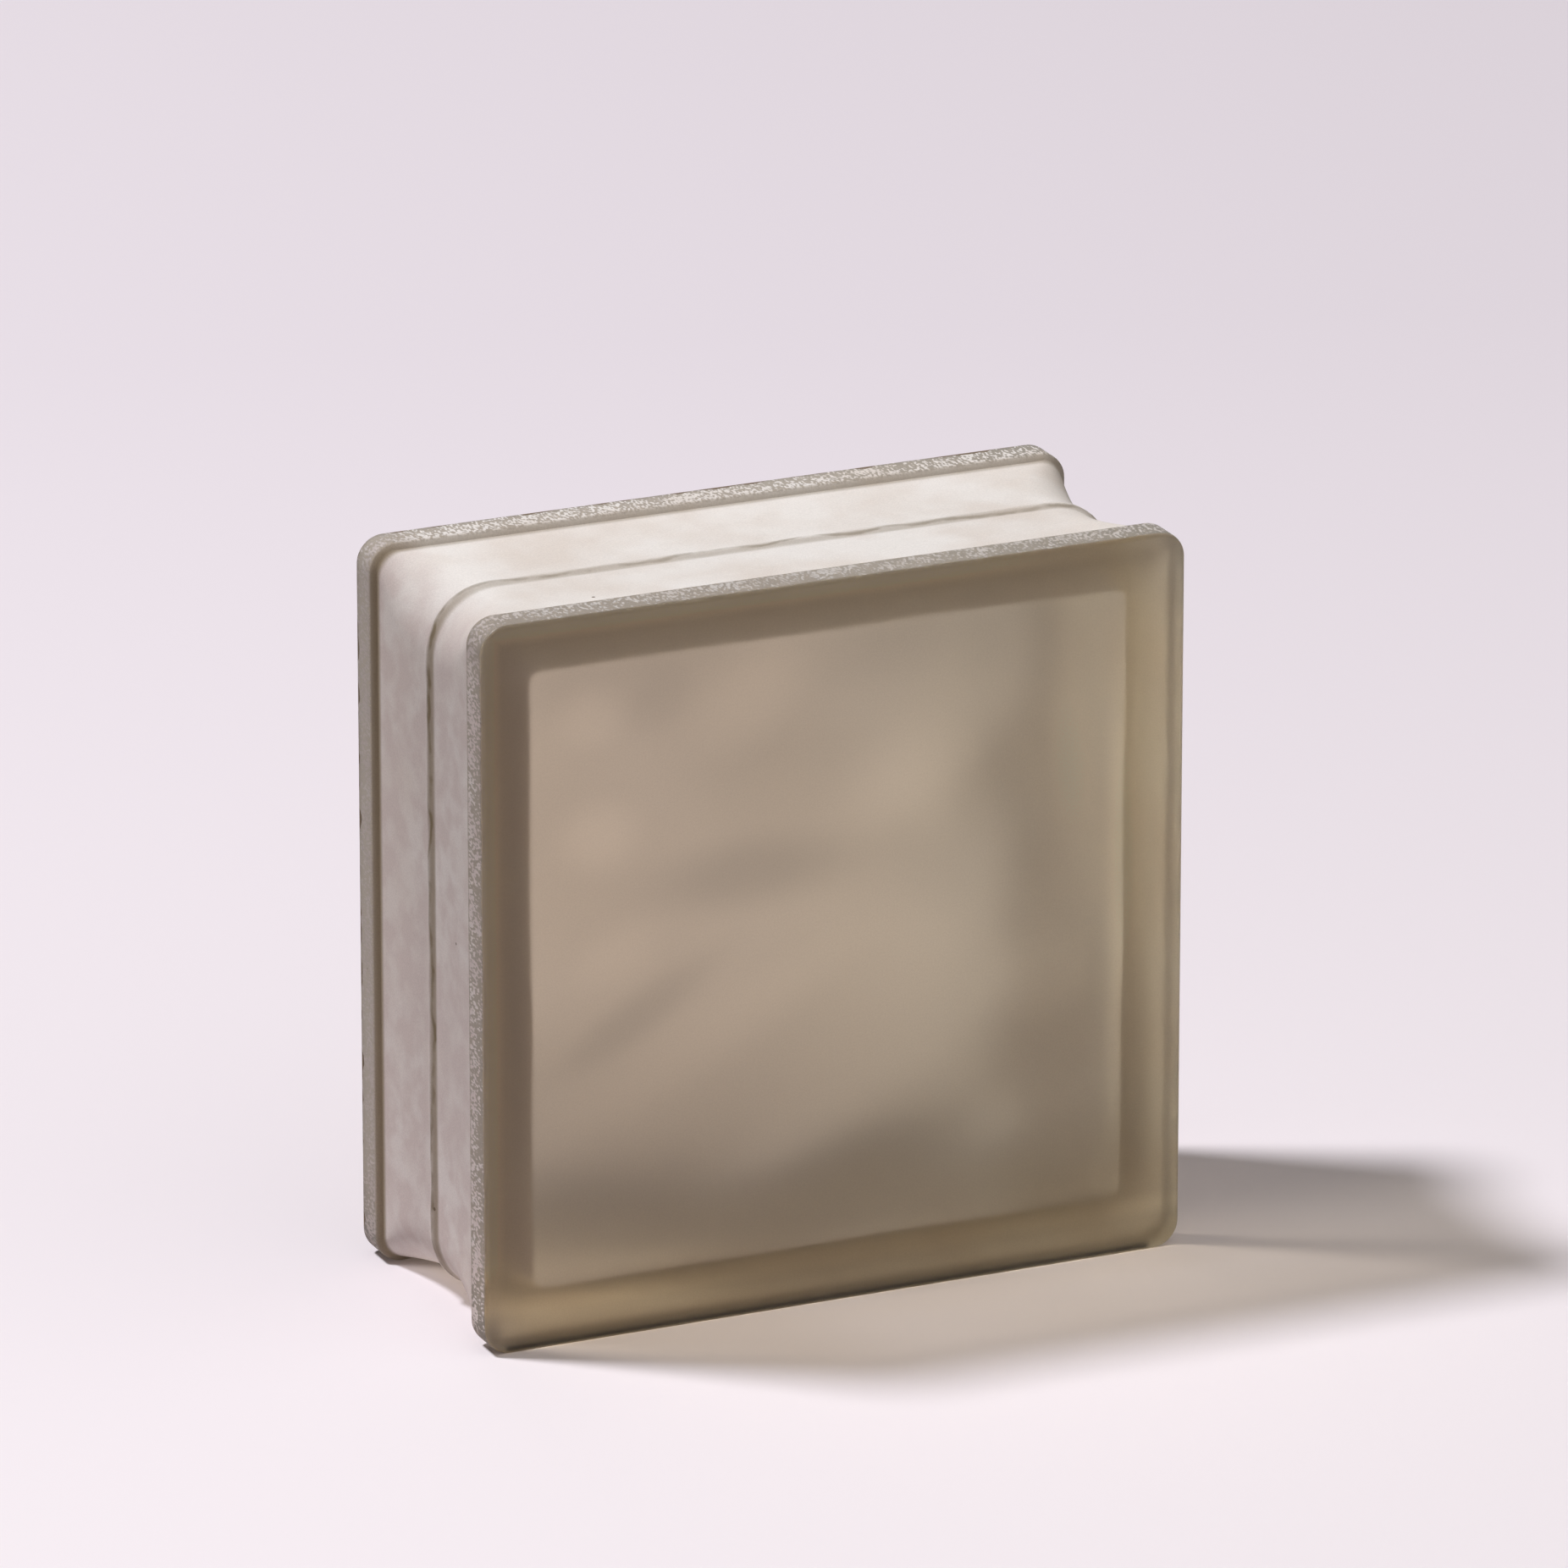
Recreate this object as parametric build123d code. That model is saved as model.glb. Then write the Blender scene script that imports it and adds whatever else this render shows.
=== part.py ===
from build123d import *
from math import atan2, cos, degrees, pi, radians, sin
import os

# Hollow glass block: two pressed half-shells fused at mid-depth into one sealed piece.
# X is the width, Y the depth with the front face at -Y, Z is up from the edge it stands on.

# Whole block
face_side = 190.0
block_depth = 80.0

# Flange: the land around each face, with its rounded corners and edges
land_width = 9.6
land_corner_radius = 7.0
face_edge_round = 1.3
land_edge_round = 0.7

# Mortar key: the stepped and sloping recess between the two flanges
riser_drop = 1.6
riser_slope = 0.9
foot_corner_radius = 5.4
waist_drop = 1.3
seam_corner_radius = 16.0
waist_run_shares = (0.0, 0.3, 1.0)
corner_growth_shares = (0.0, 0.7, 1.0)

# Fused seam: the low lip squeezed out where the halves were pressed together
seam_lip_height = 0.8
seam_lip_root = 0.4
seam_lip_crest = 1.0
seam_lip_front_run = 2.8
seam_lip_rear_run = 0.7

# Sealed cavity: face plates, drafted walls and their corners
plate_thickness = 7.3
plate_frame = 14.6
wall_thickness = 7.0
wall_corner_radius = 8.0

# Pressed waves on the inner side of each face plate
wave_height = 1.5
wave_length = 66.0
wave_margin = 12.0
wave_height_shares = (0.41, 0.28, 0.12, 0.19)
wave_length_shares = (1.0, 0.91, 0.76, 0.85)
wave_angles_deg = (-88.0, 16.0, -44.0, 40.0)
wave_phases_deg = (-152.0, 86.0, -8.0, -12.0)
wave_rows = 14
wave_fit = 0.05

half_side = face_side / 2
half_depth = block_depth / 2


def rounded_square(half_width, corner_radius, y):
    """Rounded square across the block's depth, centred on its axis."""
    plane = Plane(origin=(0, y, half_side), x_dir=(1, 0, 0), z_dir=(0, 1, 0))
    return plane * RectangleRounded(2 * half_width, 2 * half_width, corner_radius)


def half_outside():
    """Outside of the front half: flange land, riser and the waist that fans out to the seam."""
    land_end = land_width - half_depth
    foot = land_end + riser_slope
    foot_half = half_side - riser_drop
    outline = rounded_square(half_side, land_corner_radius, -half_depth)
    flange = extrude(outline, amount=land_width)
    land_rim = rounded_square(half_side, land_corner_radius, land_end)
    foot_rim = rounded_square(foot_half, foot_corner_radius, foot)
    riser = loft([land_rim, foot_rim], ruled=True)
    waist_rims = []
    for run_share, growth_share in zip(waist_run_shares, corner_growth_shares):
        rim_half = foot_half - run_share * waist_drop
        rim_radius = foot_corner_radius + growth_share * (seam_corner_radius - foot_corner_radius)
        waist_rims.append(rounded_square(rim_half, rim_radius, foot - run_share * foot))
    waist = loft(waist_rims)
    body = flange + riser + waist
    body = fillet(edges_at(body, land_end), land_edge_round)
    return fillet(edges_at(body, -half_depth), face_edge_round)


def edges_at(body, y):
    """Edges that lie whole in the plane across the depth at y."""
    return body.edges().filter_by_position(Axis.Y, y, y)


def wave(x, z):
    """Swell of the pressed relief: four crossing trains of soft waves."""
    trains = zip(wave_height_shares, wave_length_shares, wave_angles_deg, wave_phases_deg)
    swell = 0
    for height_share, length_share, angle, phase in trains:
        run = x * cos(radians(angle)) + z * sin(radians(angle))
        swell += height_share * sin(2 * pi * run / (wave_length * length_share) + radians(phase))
    return wave_height * swell


def drafted_prism(rim, y, way, length, draft_angle):
    """Prism run from a rim at depth y, the way given, with its walls drafted inwards."""
    rim_plane = Plane(origin=(0, y, half_side), x_dir=(1, 0, 0), z_dir=(0, way, 0))
    straight = extrude(rim, amount=length, dir=(0, way, 0))
    walls = straight.faces().sort_by(Axis.Y)[1:-1]
    return draft(walls, rim_plane, draft_angle)


def half_cavity():
    """Space inside the front half, with a waved front and walls drafted out to the seam."""
    plate_back = plate_thickness - half_depth
    seam_half = half_side - riser_drop - waist_drop - wall_thickness
    draft_angle = degrees(atan2(plate_frame - (half_side - seam_half), -plate_back))
    seam_rim = rounded_square(seam_half, wall_corner_radius, 0)
    drafted = drafted_prism(seam_rim, 0, -1, wave_height - plate_back, draft_angle)
    reach = seam_half + wave_margin
    spacing = 2 * reach / (wave_rows - 1)
    stations = [row * spacing - reach for row in range(wave_rows)]
    points = [[(x, plate_back + wave(x, z), half_side + z) for x in stations] for z in stations]
    waved_face = Face.make_surface_from_array_of_points(points, tol=wave_fit)
    behind_plate = extrude(waved_face, amount=block_depth, dir=(0, 1, 0))
    return drafted & behind_plate


def lip_flank(run, way):
    """One flank of the seam lip, falling from its crest to a root just under the waist."""
    crest_half = half_side - riser_drop - waist_drop + seam_lip_height
    crest_edge = way * seam_lip_crest / 2
    crest_rim = rounded_square(crest_half, seam_corner_radius + seam_lip_height, crest_edge)
    root_run = run * (seam_lip_height + seam_lip_root) / seam_lip_height
    crest = extrude(crest_rim, amount=seam_lip_crest / 2, dir=(0, -way, 0))
    return crest + drafted_prism(crest_rim, crest_edge, way, root_run, degrees(atan2(seam_lip_height, run)))


def turned(half):
    """The same pressing turned about the upright axis to make the rear half."""
    return half.rotate(Axis.Z, 180)


pressing = half_outside()
cavity = half_cavity()
front = pressing + lip_flank(seam_lip_front_run, -1)
rear = turned(pressing) + lip_flank(seam_lip_rear_run, 1)
glass_block = front + rear - (cavity + turned(cavity))

os.makedirs("parts", exist_ok=True)
export_step(glass_block, "parts/glass_block.step")
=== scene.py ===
from math import cos, pi, radians, sin

import bmesh
import bpy
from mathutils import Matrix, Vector, noise


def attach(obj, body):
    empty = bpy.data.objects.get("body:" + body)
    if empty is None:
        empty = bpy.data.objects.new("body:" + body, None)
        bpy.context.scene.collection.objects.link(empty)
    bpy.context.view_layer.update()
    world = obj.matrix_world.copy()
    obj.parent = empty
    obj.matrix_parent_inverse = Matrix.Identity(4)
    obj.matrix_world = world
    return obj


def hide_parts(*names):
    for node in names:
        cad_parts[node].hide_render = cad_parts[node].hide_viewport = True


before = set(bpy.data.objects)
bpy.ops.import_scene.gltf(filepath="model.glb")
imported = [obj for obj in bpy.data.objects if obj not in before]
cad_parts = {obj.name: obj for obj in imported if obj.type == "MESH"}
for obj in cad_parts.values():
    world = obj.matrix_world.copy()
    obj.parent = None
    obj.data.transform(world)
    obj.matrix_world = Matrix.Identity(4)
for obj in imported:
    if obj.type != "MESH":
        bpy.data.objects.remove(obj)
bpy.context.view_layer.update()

# Outside of the block: two half-shells of bronze soda-lime glass, pressed and then fused hot at mid-depth.
# Behind each face runs a flat flange land. A riser drops to the waist, whose corners fan in to the seam.
# The hot glass squeezed out at the seam stands as a low lip that flows unevenly.
mm = 0.001
tolerance = 0.001 * mm
half_side, half_depth = 95 * mm, 40 * mm
land_width, land_corner = 9.6 * mm, 7.0 * mm
face_round, land_round = 1.3 * mm, 0.7 * mm
riser_drop, riser_slope, foot_corner = 1.6 * mm, 0.9 * mm, 5.4 * mm
waist_drop, seam_corner = 1.3 * mm, 16.0 * mm
face_inset, lip_reach = 1.5 * mm, 3 * mm
corner_steps, side_steps, round_steps = 12, 92, 5


def pick(test):
    """Selects the edges of the mesh in hand that pass the test, and nothing else."""
    bpy.ops.mesh.select_mode(type="EDGE")
    bpy.ops.mesh.select_all(action="DESELECT")
    shape = bmesh.from_edit_mesh(bpy.context.edit_object.data)
    for edge in shape.edges:
        if test(edge):
            edge.select_set(True)
    shape.select_flush_mode()
    bmesh.update_edit_mesh(bpy.context.edit_object.data)


def lies(edge, y):
    """Whether an edge lies whole in the plane across the depth at y."""
    return all(abs(end.co.y - y) < tolerance for end in edge.verts)


def add_rim(half_width, corner_radius, y):
    """Adds a rounded square of edges across the depth, with even steps along its sides."""
    bpy.ops.mesh.select_all(action="DESELECT")
    bpy.ops.mesh.primitive_plane_add(
        size=2 * half_width, location=(0, y, half_side), rotation=(pi / 2, 0, 0))
    bpy.ops.mesh.bevel(affect="VERTICES", offset=corner_radius, segments=corner_steps)
    pick(lambda edge: lies(edge, y))
    bpy.ops.mesh.delete(type="ONLY_FACE")
    pick(lambda edge: lies(edge, y) and edge.calc_length() > half_side)
    bpy.ops.mesh.subdivide(number_cuts=side_steps - 1)


def start_piece(name):
    """Starts an empty mesh at the origin and leaves it open for editing."""
    bpy.ops.object.select_all(action="DESELECT")
    bpy.ops.mesh.primitive_plane_add()
    piece = bpy.context.object
    piece.name = piece.data.name = name
    bpy.ops.object.mode_set(mode="EDIT")
    bpy.ops.mesh.delete(type="VERT")
    return piece


def skin(rims):
    """Adds the rims in turn and bridges each to the one before."""
    for number, (half_width, corner_radius, y) in enumerate(rims):
        add_rim(half_width, corner_radius, y)
        if number:
            before = rims[number - 1][2]
            pick(lambda edge: lies(edge, y) or lies(edge, before))
            bpy.ops.mesh.bridge_edge_loops()


# Rims from the front face back: its rounded edge, the land with its arris, the riser and the waist.
# The corners of the waist fan in fast at first, with 0.7 of their growth in 0.3 of the run.
foot = land_width + riser_slope - half_depth
foot_half = half_side - riser_drop
half_rims = []
for step in range(round_steps + 1):
    turn = step / round_steps * pi / 2
    rounding = face_round * (1 - sin(turn))
    rim_y = face_round * (1 - cos(turn)) - half_depth
    half_rims.append((half_side - rounding, land_corner - rounding, rim_y))
land_end = land_width - half_depth
half_rims.append((half_side, land_corner, face_round + 0.6 * mm - half_depth))
half_rims.append((half_side, land_corner, land_end - land_round))
half_rims.append((half_side - 0.05 * mm, land_corner, land_end - 0.3 * mm))
half_rims.append((half_side - 0.2 * mm, land_corner - 0.1 * mm, land_end))
half_rims.append((half_side - 1.2 * mm, foot_corner + 0.4 * mm, land_end + 0.6 * mm))
half_rims.append((foot_half + 0.1 * mm, foot_corner + 0.1 * mm, foot - 0.1 * mm))
fan_slope, fan_bend = 2.905, 1.905
for share in (0.02, 0.05, 0.1, 0.16, 0.22, 0.3, 0.38, 0.46, 0.55, 0.65, 0.77, 0.88):
    growth = share * (fan_slope - fan_bend * share)
    corner = foot_corner + growth * (seam_corner - foot_corner)
    half_rims.append((foot_half - share * waist_drop, corner, foot * (1 - share)))

# Rims of the lip, by their rise over the seam and their place in the depth.
seam_half = foot_half - waist_drop
lip_steps = ((0.1, -2.9), (0.25, -2.4), (0.5, -1.5), (0.72, -0.8), (0.8, -0.4),
             (0.8, 0.2), (0.72, 0.5), (0.4, 0.8), (0.1, 1.15), (0.07, 1.6))
lip = [(seam_half + rise * mm, seam_corner + rise * mm, run * mm) for rise, run in lip_steps]
rear_rims = [(half_width, corner, -y) for half_width, corner, y in reversed(half_rims)]

shell = start_piece("glass_shell")
skin(half_rims + lip + rear_rims)
for face_y in (-half_depth, half_depth):
    pick(lambda edge: lies(edge, face_y))
    bpy.ops.mesh.edge_face_add()
    bpy.ops.mesh.inset(thickness=face_inset)
bpy.ops.mesh.select_all(action="SELECT")
bpy.ops.mesh.normals_make_consistent(inside=False)
pick(lambda edge: all(abs(end.co.y) < lip_reach for end in edge.verts))
bpy.ops.object.vertex_group_assign_new()
bpy.ops.object.mode_set(mode="OBJECT")
for direction, strength, length in (("Y", 1.3 * mm, 20 * mm), ("NORMAL", 0.5 * mm, 11 * mm)):
    flow = bpy.data.textures.new("lip_flow", "CLOUDS")
    flow.noise_scale = length
    swell = shell.modifiers.new("swell", "DISPLACE")
    swell.texture, swell.texture_coords = flow, "LOCAL"
    swell.direction, swell.strength = direction, strength
    swell.vertex_group = shell.vertex_groups[0].name
    bpy.ops.object.modifier_apply(modifier="swell")

# Sealed cavity: the press plunger left drafted walls and a soft wavy relief inside each plate. The relief
# has the four crossing trains of waves of the part's source, each with its share of the height and of the
# length, its angle and its phase. A finer ripple, drawn out aslant, lies over them.
plate_thickness, plate_half, plate_corner = 7.3 * mm, 80.4 * mm, 3.3 * mm
wall_half, wall_corner = 85.1 * mm, 8.0 * mm
wave_height, wave_length = 1.5 * mm, 66 * mm
wave_trains = (
    (0.41, 1.0, -88, -152), (0.28, 0.91, 16, 86), (0.12, 0.76, -44, -8), (0.19, 0.85, 40, -12))
ripple_height, ripple_length, ripple_width = 0.8 * mm, 60 * mm, 23 * mm
ripple_start, ripple_turn = (10 * mm, 36 * mm), radians(30)


def wave(x, z):
    """Swell of the pressed relief at a place on the plate, measured from its middle."""
    swell = 0
    for height, length, angle, phase in wave_trains:
        run = x * cos(radians(angle)) + z * sin(radians(angle))
        swell += height * sin(2 * pi * run / (wave_length * length) + radians(phase))
    across = (x * cos(ripple_turn) + z * sin(ripple_turn) - ripple_start[0]) / ripple_length
    along = (z * cos(ripple_turn) - x * sin(ripple_turn) - ripple_start[1]) / ripple_width
    return wave_height * swell + ripple_height * noise.noise(Vector((across, along, 0)))


plate_back = plate_thickness - half_depth
cavity = start_piece("cavity")
skin([
    (plate_half, plate_corner, plate_back), (wall_half, wall_corner, 0),
    (plate_half, plate_corner, -plate_back)])
for plate_y in (plate_back, -plate_back):
    pick(lambda edge: lies(edge, plate_y))
    shape = bmesh.from_edit_mesh(cavity.data)
    rim_ends = [end for end in shape.verts if end.select]
    corner_end = max(rim_ends, key=lambda end: end.co.x + end.co.z)
    shape.select_history.clear()
    shape.select_history.add(corner_end)
    bmesh.update_edit_mesh(cavity.data)
    bpy.ops.mesh.fill_grid(span=side_steps + corner_steps)
bpy.ops.mesh.select_all(action="SELECT")
bpy.ops.mesh.normals_make_consistent(inside=True)
bpy.ops.object.mode_set(mode="OBJECT")
for point in cavity.data.vertices:
    if abs(point.co.y - plate_back) < tolerance:
        point.co.y += wave(point.co.x, point.co.z - half_side)
    elif abs(point.co.y + plate_back) < tolerance:
        point.co.y -= wave(-point.co.x, point.co.z - half_side)

bpy.ops.object.select_all(action="DESELECT")
cavity.select_set(True)
shell.select_set(True)
bpy.context.view_layer.objects.active = shell
bpy.ops.object.join()
bpy.ops.object.shade_smooth_by_angle(angle=radians(40))

# Bronze soda-lime glass: etched satin outside, which blurs what lies behind to soft smudges, clear inside.
# The edges carry a sprayed cream coating that lets some light in. It hides the waist, and on the flange
# lands it is a thin sparkling speckle, rubbed on the front one. Painted shade darkens the rear arris, the
# left edge, the bottom front and the creases, and painted light and shade lie in the glass as smudges.
skin_start, face_start = 86.3 * mm, 38 * mm
coat_edge, coat_stray, sprayed_edge = 38.5 * mm, 1.2 * mm, 39.1 * mm
land_start = half_depth - land_width
arris_start, arris_shade_edge, arris_shade_stray = 94.3 * mm, 41.8 * mm, 6 * mm
grit, glint, drift_size, cloud_size, dot_spacing = 0.45 * mm, 0.6 * mm, 8 * mm, 28 * mm, 22 * mm


def linear(hex_colour):
    """Linear colour of an sRGB hex value."""
    parts = [int(hex_colour[place:place + 2], 16) / 255 for place in (0, 2, 4)]
    return [part / 12.92 if part <= 0.04045 else ((part + 0.055) / 1.055) ** 2.4 for part in parts] + [1]


def node(tree, kind, inputs, **settings):
    """Adds a node with its settings, gives its inputs values or links, and returns the output in use.

    A Mix takes its share at input 0, two numbers at inputs 2 and 3, and two colours at inputs 6 and 7.
    """
    made = tree.nodes.new("ShaderNode" + kind)
    for name, value in settings.items():
        setattr(made, name, value)
    for name, value in inputs.items():
        if isinstance(value, bpy.types.NodeSocket):
            tree.links.new(value, made.inputs[name])
        else:
            made.inputs[name].default_value = value
    return next((output for output in made.outputs if output.enabled), None)


satin_bronze = bpy.data.materials.new("satin_bronze_glass")
satin_bronze.use_nodes = True
tree = satin_bronze.node_tree
tree.nodes.clear()
place = node(tree, "TexCoord", {}).node.outputs["Object"]
axes = node(tree, "SeparateXYZ", {"Vector": place}).node.outputs
across = node(tree, "Math", {0: axes["X"]}, operation="ABSOLUTE")
height = node(tree, "Math", {0: axes["Z"], 1: half_side}, operation="SUBTRACT")
along = node(tree, "Math", {0: height}, operation="ABSOLUTE")
reach = node(tree, "Math", {0: across, 1: along}, operation="MAXIMUM")
depth = node(tree, "Math", {0: axes["Y"]}, operation="ABSOLUTE")
skin_side = node(tree, "Math", {0: reach, 1: skin_start}, operation="GREATER_THAN")
face = node(tree, "Math", {0: depth, 1: face_start}, operation="GREATER_THAN")
etched = node(tree, "Math", {0: skin_side, 1: face}, operation="MAXIMUM")

# Grains of the coating, slow drifts in it, and small bare dots. The glints are drawn out through the depth.
# The finest grit is drawn coarser than it is, so that it shows.
flecks = node(tree, "TexNoise", {"Vector": place, "Scale": 1 / grit, "Detail": 1.0, "Roughness": 0.7})
drift = node(tree, "TexNoise", {"Vector": place, "Scale": 1 / drift_size, "Detail": 2.0})
cloud = node(tree, "TexNoise", {"Vector": place, "Scale": 1 / cloud_size, "Detail": 3.0})
drawn = node(tree, "VectorMath", {0: place, 1: (1, 0.45, 1)}, operation="MULTIPLY")
glints = node(tree, "TexNoise", {"Vector": drawn, "Scale": 1 / glint, "Detail": 0.0})
dots = node(tree, "TexVoronoi", {"Vector": place, "Scale": 1 / dot_spacing})

# Where the coating lies, and how much of the glass it hides: an even coat on the waist and a worn speckle
# on the lands.
coat_end = node(tree, "Math", {0: drift, 1: coat_stray, 2: coat_edge}, operation="MULTIPLY_ADD")
edge_side = node(tree, "Math", {0: depth, 1: coat_end}, operation="LESS_THAN")
coated = node(tree, "Math", {0: skin_side, 1: edge_side}, operation="MULTIPLY")
land = node(tree, "MapRange", {
    "Value": depth, "From Min": land_start - 0.3 * mm, "From Max": land_start + 0.5 * mm})
wear = node(tree, "MapRange", {
    "Value": depth, "From Min": 33 * mm, "From Max": 39.2 * mm, "To Max": 0.16})
front = node(tree, "Math", {0: axes["Y"], 1: 0.0}, operation="LESS_THAN")
handled = node(tree, "MapRange", {"Value": axes["Z"], "From Min": 175 * mm, "From Max": 189 * mm})
handled = node(tree, "Math", {0: front, 1: handled}, operation="MULTIPLY")
rubbed = node(tree, "Math", {0: handled, 1: 0.04, 2: wear}, operation="MULTIPLY_ADD")
patch = node(tree, "Math", {0: drift, 1: 0.5, 2: -0.2}, operation="MULTIPLY_ADD")
thinner = node(tree, "Math", {0: rubbed, 1: patch}, operation="SUBTRACT")
kept = node(tree, "Math", {0: glints, 1: thinner}, operation="SUBTRACT")
speckle = node(tree, "MapRange", {
    "Value": kept, "From Min": 0.48, "From Max": 0.6, "To Min": 0.5, "To Max": 0.78})
cover = node(tree, "Mix", {0: land, 2: 0.72, 3: speckle})
hidden = node(tree, "Math", {0: coated, 1: cover}, operation="MULTIPLY")

# Painted shade: a dark, nearly opaque strip along the rear arris, broken up by the drift.
arris_shade_start = node(tree, "Math", {0: drift, 1: -arris_shade_stray, 2: arris_shade_edge}, operation="MULTIPLY_ADD")
arris = node(tree, "Math", {0: reach, 1: arris_start}, operation="GREATER_THAN")
past_arris_shade_start = node(tree, "Math", {0: axes["Y"], 1: arris_shade_start}, operation="GREATER_THAN")
arris_shade = node(tree, "Math", {0: arris, 1: past_arris_shade_start}, operation="MULTIPLY")
hidden = node(tree, "Math", {
    0: arris_shade, 1: 0.7, 2: hidden}, operation="MULTIPLY_ADD", use_clamp=True)
clear = node(tree, "Math", {0: 1.0, 1: hidden}, operation="SUBTRACT")
painted = node(tree, "MapRange", {"Value": hidden, "From Min": 0.1, "From Max": 0.6})

# Painted shade along the foot of the riser, on the front flank of the lip, which faces away from the light,
# and in the wavering fold beside its crest. Each line has a place, the half-widths of its core and of its
# fade, and a strength.
wander = node(tree, "Math", {0: cloud, 1: 7 * mm, 2: axes["Y"]}, operation="MULTIPLY_ADD")
waver = node(tree, "Math", {0: drift, 1: 3 * mm, 2: wander}, operation="MULTIPLY_ADD")
painted_shade_lines = []
for course, line_place, core, fade, strength in (
        (depth, 29.7 * mm, 0.2 * mm, 2.2 * mm, 1.0),
        (axes["Y"], -2.0 * mm, 0.2 * mm, 2.4 * mm, 0.8),
        (waver, 3.8 * mm, 0.15 * mm, 0.9 * mm, 0.9)):
    past_line = node(tree, "Math", {0: course, 1: line_place}, operation="SUBTRACT")
    from_line = node(tree, "Math", {0: past_line}, operation="ABSOLUTE")
    painted_shade_lines.append(node(tree, "MapRange", {
        "Value": from_line, "From Min": core, "From Max": fade, "To Min": strength, "To Max": 0.0},
        interpolation_type="SMOOTHSTEP"))
riser_shade, flank_shade, fold_shade = painted_shade_lines
open_fold = node(tree, "MapRange", {
    "Value": drift, "From Min": 0.38, "From Max": 0.58, "To Min": 0.2})
fold_shade = node(tree, "Math", {0: fold_shade, 1: open_fold}, operation="MULTIPLY")
painted_crease_shade = node(tree, "Math", {0: riser_shade, 1: flank_shade}, operation="MAXIMUM")

# Coating: cream with faint clouds. Over it lie, in turn, mottled painted shade on the left edge, painted
# shade along the bottom front, dull rubbed lands (the rear ones greyer, with painted shade on the left
# one), the dark between their glints, the painted shade lines, and bare dots and the painted shade along
# the rear arris.
stained = node(tree, "MapRange", {"Value": cloud, "From Min": 0.42, "From Max": 0.68})
coat = node(tree, "Mix", {0: stained, 6: linear("FDFAF5"), 7: linear("F0E8DF")}, data_type="RGBA")
# Painted shade on the left edge, mottled by the drift. It also greys the rear left land.
left = node(tree, "MapRange", {"Value": axes["X"], "From Min": -80 * mm, "From Max": -92 * mm})
mottle = node(tree, "MapRange", {
    "Value": drift, "From Min": 0.35, "From Max": 0.65, "To Min": 0.5, "To Max": 1.1})
painted_left_shade = node(tree, "Math", {0: left, 1: mottle}, operation="MULTIPLY")
# Painted shade along the bottom front, low down by the floor.
low = node(tree, "MapRange", {"Value": axes["Z"], "From Min": 8 * mm, "From Max": 2 * mm})
fore = node(tree, "MapRange", {
    "Value": axes["Y"], "From Min": -14 * mm, "From Max": -27 * mm, "To Max": 0.8})
painted_shade_below = node(tree, "Math", {0: low, 1: fore}, operation="MULTIPLY")
rear_side = node(tree, "Math", {0: 1.0, 1: front}, operation="SUBTRACT")
greyed_and_shaded = node(tree, "Math", {0: left, 1: 0.3}, operation="ADD")
dulled_and_shaded = node(tree, "Math", {
    0: greyed_and_shaded, 1: rear_side, 2: handled}, operation="MULTIPLY_ADD", use_clamp=True)
dulled_and_shaded = node(tree, "Math", {0: dulled_and_shaded, 1: land}, operation="MULTIPLY")
dulled_and_shaded = node(tree, "Math", {0: dulled_and_shaded, 1: 0.55}, operation="MULTIPLY")
between = node(tree, "MapRange", {
    "Value": kept, "From Min": 0.46, "From Max": 0.58, "To Min": 0.9, "To Max": 0.0})
between = node(tree, "Math", {0: between, 1: land}, operation="MULTIPLY")
# The painted shade lines are weaker on the top and stronger on the left edge.
shade = node(tree, "MapRange", {"Value": left, "To Min": 0.55, "To Max": 0.95})
painted_crease_shade = node(tree, "Math", {0: painted_crease_shade, 1: shade}, operation="MULTIPLY")
fold_shade = node(tree, "Math", {0: fold_shade, 1: shade}, operation="MULTIPLY")
dot = node(tree, "Math", {0: dots, 1: 0.022}, operation="LESS_THAN")
bare_dots_and_arris_shade = node(tree, "Math", {0: dot, 1: arris_shade}, operation="MAXIMUM")
for share, layer in (
        (painted_left_shade, "E2D5D0"), (painted_shade_below, "9A8C78"), (dulled_and_shaded, "A69F97"), (between, "86827C"),
        (painted_crease_shade, "938369"), (fold_shade, "78694C"), (bare_dots_and_arris_shade, "6E5F4C")):
    coat = node(tree, "Mix", {0: share, 6: coat, 7: linear(layer)}, data_type="RGBA")
grain = node(tree, "MapRange", {
    "Value": flecks, "From Min": 0.3, "From Max": 0.7, "To Min": 0.93, "To Max": 1.04})
coat = node(tree, "VectorMath", {0: coat, 1: grain}, operation="MULTIPLY")

# Glass: bronze, a little greener to the right. Painted light and shade lie in the colour of each face as
# soft smudges, for the light that the waves gather, and as painted light on the outer strip of a face,
# where it is lit through its land, with painted shade along its bottom. A smudge has a place, two radii, a
# turn and a share of painted light, below nothing for painted shade. The rear face has the same ones, as
# seen from behind.
aside = node(tree, "MapRange", {"Value": axes["X"], "From Min": -20 * mm, "From Max": 80 * mm})
bronze = node(tree, "Mix", {0: aside, 6: linear("DBCEB9"), 7: linear("DBD4BC")}, data_type="RGBA")
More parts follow.
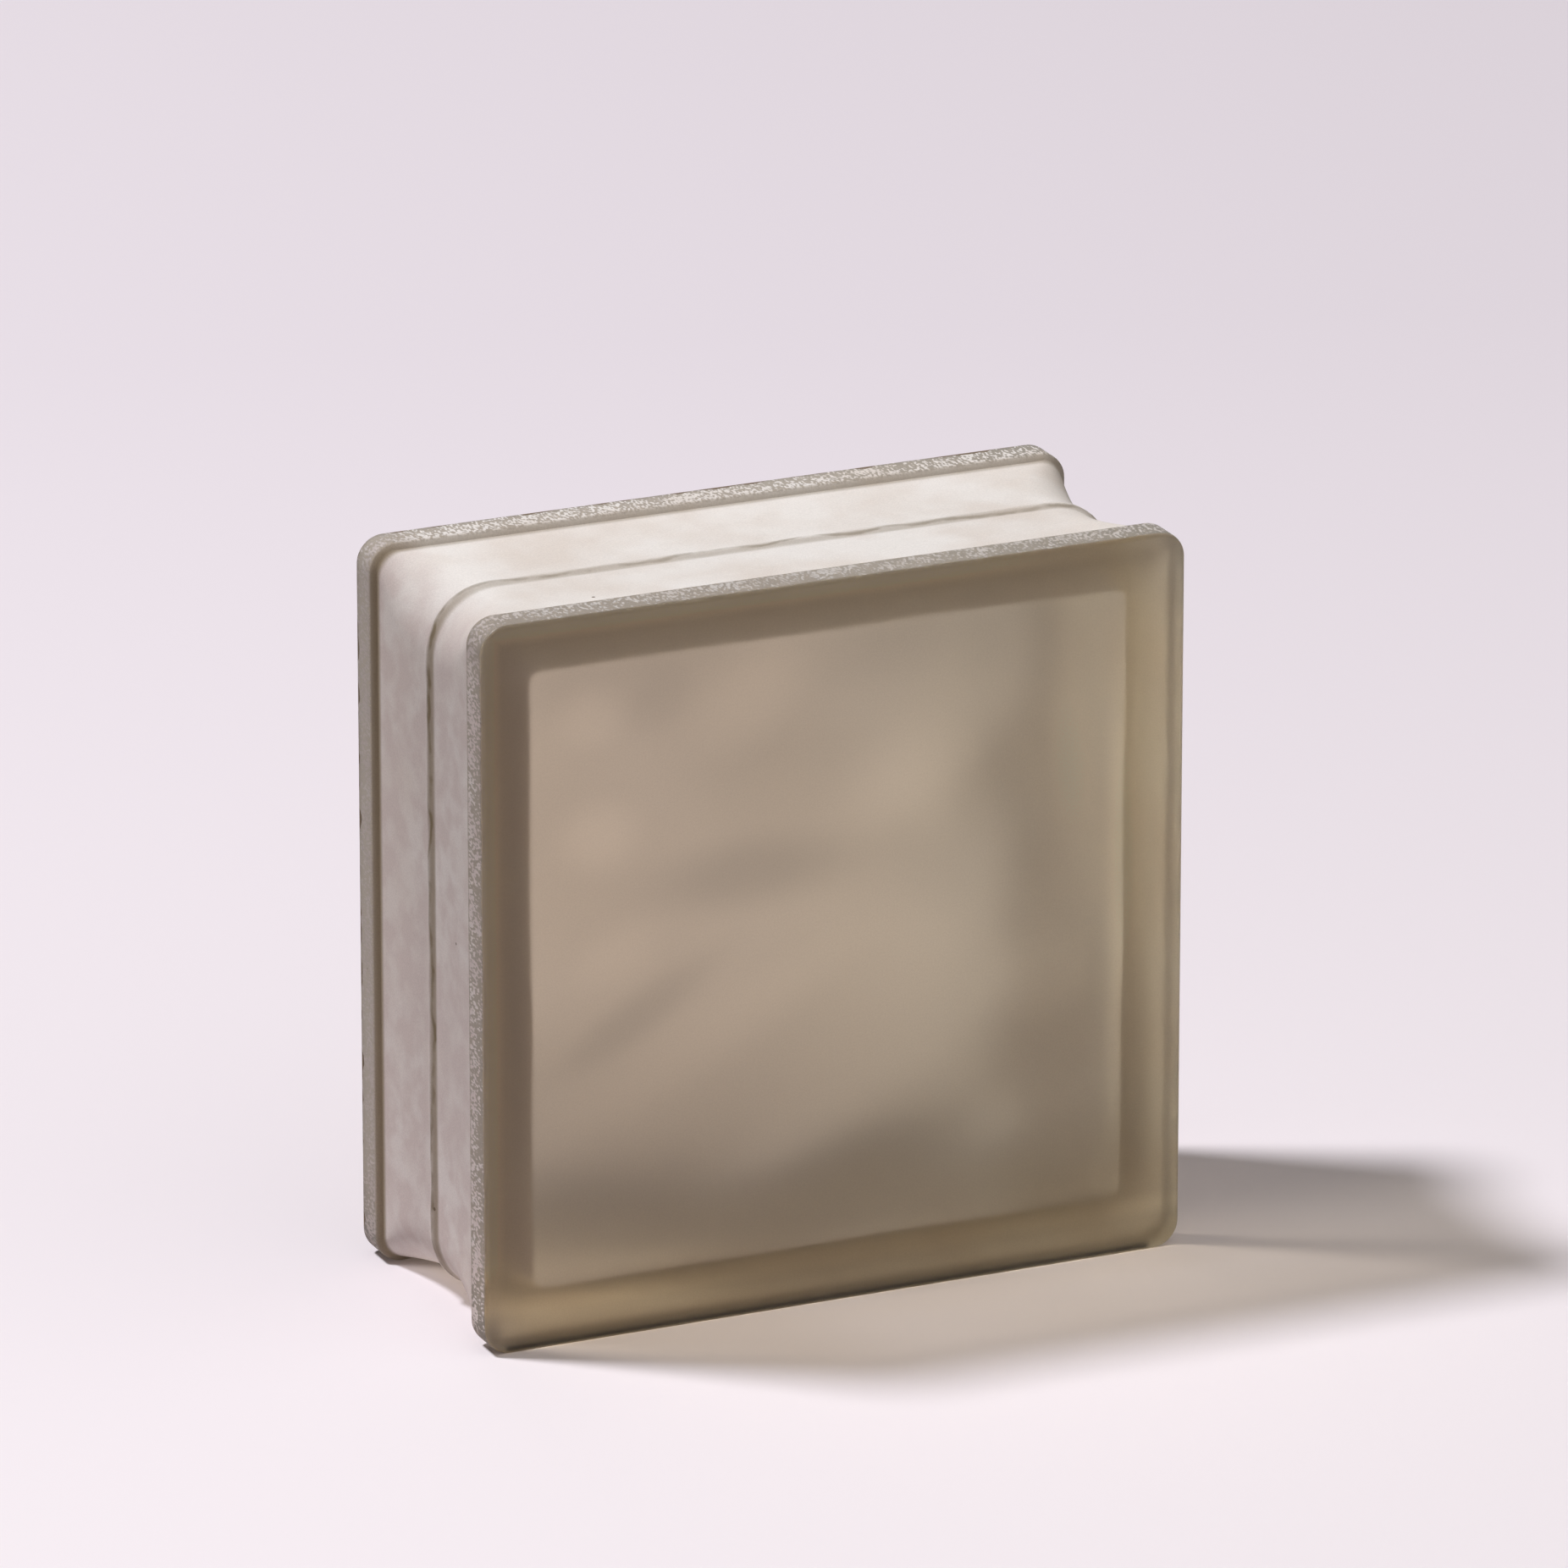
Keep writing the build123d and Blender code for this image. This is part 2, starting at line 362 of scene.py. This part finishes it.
# Painted light on the outer strip of each face and painted shade along its bottom, both weaker to the
# right.
strip = node(tree, "MapRange", {
    "Value": reach, "From Min": 89 * mm, "From Max": 93 * mm}, interpolation_type="SMOOTHSTEP")
strip_light_and_shade = node(tree, "MapRange", {
    "Value": axes["Z"], "From Min": 6 * mm, "From Max": 24 * mm, "To Min": -0.38, "To Max": 0.75})
strip_light_and_shade = node(tree, "Math", {0: strip, 1: strip_light_and_shade}, operation="MULTIPLY")
lit_side = node(tree, "MapRange", {
    "Value": axes["X"], "From Min": 30 * mm, "From Max": 85 * mm, "To Min": 1.0, "To Max": 0.1})
painted_light_and_shade = node(tree, "Math", {0: strip_light_and_shade, 1: lit_side, 2: 1.0}, operation="MULTIPLY_ADD")
which_face = node(tree, "Math", {0: axes["Y"]}, operation="SIGN")
leftward = node(tree, "Math", {0: which_face, 1: axes["X"]}, operation="MULTIPLY")
rightward = node(tree, "Math", {0: leftward, 1: -1.0}, operation="MULTIPLY")
flat = node(tree, "CombineXYZ", {"X": rightward, "Z": axes["Z"]})
# Painted light and painted shade in the glass colour, one smudge to a row.
painted_smudges = (
    (-54, 84, 40, 10, 30, -0.28), (-24, 117, 48, 15, 1, -0.32), (-64, 132, 18, 15, 0, 0.28),
    (-66, 163, 15, 13, 0, 0.22), (-24, 162, 30, 18, 35, 0.25), (20, 137, 32, 22, 20, 0.24),
    (49, 122, 42, 11, -72, -0.12), (64, 137, 42, 10, -85, 0.3), (55, 78, 24, 20, 0, 0.24),
    (-34, 76, 64, 14, 27, 0.16), (-60, 100, 20, 13, 20, 0.17), (72, 80, 30, 6, 90, -0.14),
    (-48, 166, 17, 13, 45, -0.13), (40, 170, 20, 13, 90, -0.1), (79, 105, 95, 8, 90, 0.5),
    (58, 115, 78, 30, 90, 0.3), (0, 26, 150, 36, 0, -0.17), (0, 12.5, 190, 5, 0, 0.4),
    (-86, 100, 120, 5, 90, -0.2))
for x, z, length, width, turn, share in painted_smudges:
    spot = node(tree, "Mapping", {
        "Vector": flat, "Location": (x * mm, 0, z * mm), "Rotation": (0, radians(-turn), 0),
        "Scale": (length * mm, 1, width * mm)}, vector_type="TEXTURE")
    away = node(tree, "VectorMath", {0: spot}, operation="LENGTH")
    soft = node(tree, "MapRange", {
        "Value": away, "To Min": share, "To Max": 0.0}, interpolation_type="SMOOTHERSTEP")
    painted_light_and_shade = node(tree, "Math", {0: painted_light_and_shade, 1: soft}, operation="ADD")
bronze = node(tree, "VectorMath", {0: bronze, 1: painted_light_and_shade}, operation="MULTIPLY")
bronze = node(tree, "VectorMath", {0: bronze, 1: grain}, operation="MULTIPLY")
stain = node(tree, "Mix", {0: etched, 6: linear("FFFFFF"), 7: bronze}, data_type="RGBA")
colour = node(tree, "Mix", {0: painted, 6: stain, 7: coat}, data_type="RGBA")
satin = node(tree, "Math", {0: etched, 1: 0.42, 2: 0.03}, operation="MULTIPLY_ADD")
roughness = node(tree, "Mix", {0: painted, 2: satin, 3: 0.9})
gritty = node(tree, "Math", {0: painted, 1: 0.25}, operation="MULTIPLY")
relief = node(tree, "Bump", {"Height": flecks, "Strength": gritty, "Distance": 0.15 * mm})
glass = node(tree, "BsdfPrincipled", {
    "Base Color": colour, "Roughness": roughness, "IOR": 1.52, "Transmission Weight": clear,
    "Normal": relief})

# Light that goes on through the block to the floor, warmed by the coating.
rear = node(tree, "Math", {0: axes["Y"], 1: face_start}, operation="GREATER_THAN")
through = node(tree, "Math", {0: rear, 1: -0.85, 2: 0.93}, operation="MULTIPLY_ADD")
coat_pass = node(tree, "Math", {0: land, 1: -0.48, 2: 0.56}, operation="MULTIPLY_ADD")
sprayed = node(tree, "Math", {0: depth, 1: sprayed_edge}, operation="LESS_THAN")
sprayed = node(tree, "Math", {0: skin_side, 1: sprayed}, operation="MULTIPLY")
passing = node(tree, "Mix", {0: sprayed, 2: through, 3: coat_pass})
warmth = node(tree, "Mix", {0: sprayed, 6: linear("FFFFFF"), 7: linear("FFFEFA")}, data_type="RGBA")
passed = node(tree, "VectorMath", {0: warmth, 1: passing}, operation="MULTIPLY")
open_way = node(tree, "BsdfTransparent", {"Color": passed})
shadow_ray = node(tree, "LightPath", {}).node.outputs["Is Shadow Ray"]
lit_through = node(tree, "MixShader", {0: shadow_ray, 1: glass, 2: open_way})
tint = node(tree, "VolumeAbsorption", {"Color": linear("BBA665"), "Density": 21.85})
node(tree, "OutputMaterial", {"Surface": lit_through, "Volume": tint})
shell.data.materials.append(satin_bronze)
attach(shell, "root")
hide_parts("glass_block")

# Studio floor: a sheet of pale lilac-white paper, with painted shade a little darker to the back and right,
# and a painted pool of light where it is seen through the glass. Past the sheet the room is dim, so it
# sends little light back up on the block's sides.
floor_size = 12
bpy.ops.object.select_all(action="DESELECT")
bpy.ops.mesh.primitive_plane_add(size=floor_size)
floor = bpy.context.object
floor.name = "paper_floor"
paper = bpy.data.materials.new("matt_paper")
paper.use_nodes = True
tree = paper.node_tree
tree.nodes.clear()
place = node(tree, "TexCoord", {}).node.outputs["Object"]
# Painted shade: the paper darkens a little to the back and right.
aslant = node(tree, "VectorMath", {0: place, 1: (0.3, 1, 0)}, operation="DOT_PRODUCT")
back = node(tree, "MapRange", {"Value": aslant, "From Min": -0.35, "From Max": 0.8})
shown = node(tree, "Mix", {0: back, 6: linear("F4EEF1"), 7: linear("E2DBE1")}, data_type="RGBA")
away = node(tree, "VectorMath", {0: place}, operation="LENGTH")
pool = node(tree, "VectorMath", {0: place, 1: (0.14, 0.30, 0)}, operation="DISTANCE")
far = node(tree, "MapRange", {"Value": away, "From Min": 0.15, "From Max": 0.34})
bounced = node(tree, "Mix", {0: far, 6: linear("CBC0C5"), 7: linear("3F3C3D")}, data_type="RGBA")
rays = node(tree, "LightPath", {}).node.outputs
# Painted pool of light: seen through the glass, the floor is brighter near a spot behind the block and dims
# away from it.
painted_pool_light = node(tree, "MapRange", {
    "Value": pool, "From Min": 0.08, "From Max": 0.45, "To Min": 1.07, "To Max": 0.4})
pool_lit_floor = node(tree, "VectorMath", {0: shown, 1: painted_pool_light}, operation="MULTIPLY")
seen_floor = node(tree, "Mix", {
    0: rays["Is Transmission Ray"], 6: shown, 7: pool_lit_floor}, data_type="RGBA")
colour = node(tree, "Mix", {0: rays["Is Diffuse Ray"], 6: seen_floor, 7: bounced}, data_type="RGBA")
sheet = node(tree, "BsdfPrincipled", {
    "Base Color": colour, "Roughness": 0.9, "Specular IOR Level": 0.2})
node(tree, "OutputMaterial", {"Surface": sheet})
floor.data.materials.append(paper)

# Studio light: a softbox high behind the block on the left, a pale panel overhead in front, and a pale
# surround.
softbox_distance, softbox_side = 5, Vector((-0.409, 0.266, 0.873))
middle = Vector((0, 0, half_side))
bpy.ops.object.light_add(type="AREA", location=middle + softbox_distance * softbox_side)
softbox = bpy.context.object
softbox.name = "softbox"
softbox.rotation_euler = (middle - softbox.location).to_track_quat("-Z", "Y").to_euler()
softbox.data.shape = "DISK"
softbox.data.size = 0.75
softbox.data.energy = 229
softbox.data.color = (1.0, 0.985, 1.02)
surround = bpy.data.worlds.new("pale_surround")
bpy.context.scene.world = surround
surround.use_nodes = True
tree = surround.node_tree
tree.nodes.clear()
towards = node(tree, "TexCoord", {}).node.outputs["Generated"]
facing = node(tree, "VectorMath", {0: towards, 1: (0.349, -0.45, 0.822)}, operation="DOT_PRODUCT")
lobe = node(tree, "MapRange", {"Value": facing})
panel = node(tree, "Math", {0: lobe, 1: 3.5}, operation="POWER")
strength = node(tree, "Math", {0: panel, 1: 0.72, 2: 0.02}, operation="MULTIPLY_ADD")
rays = node(tree, "LightPath", {}).node.outputs
seen = node(tree, "Math", {0: rays["Is Camera Ray"], 1: rays["Is Glossy Ray"]}, operation="MAXIMUM")
glow = node(tree, "Math", {
    0: rays["Is Transmission Ray"], 1: 0.3, 2: strength}, operation="MULTIPLY_ADD")
fill = node(tree, "Background", {"Color": linear("FFFAF4"), "Strength": glow})
pale = node(tree, "Background", {"Color": linear("E5DEE5"), "Strength": 1.0})
mixed = node(tree, "MixShader", {0: seen, 1: fill, 2: pale})
node(tree, "OutputWorld", {"Surface": mixed})

# Camera: a long lens from the left and above, as in the photograph.
bpy.ops.object.camera_add(
    location=(-1.3389, -2.9949, 1.2660), rotation=(radians(90 - 19.192), 0, radians(-24.145)))
camera = bpy.context.object
camera.data.lens = 319.67
camera.data.sensor_width = 36
camera.data.clip_end = 50
bpy.context.scene.camera = camera
bpy.context.scene.view_settings.view_transform = "Standard"
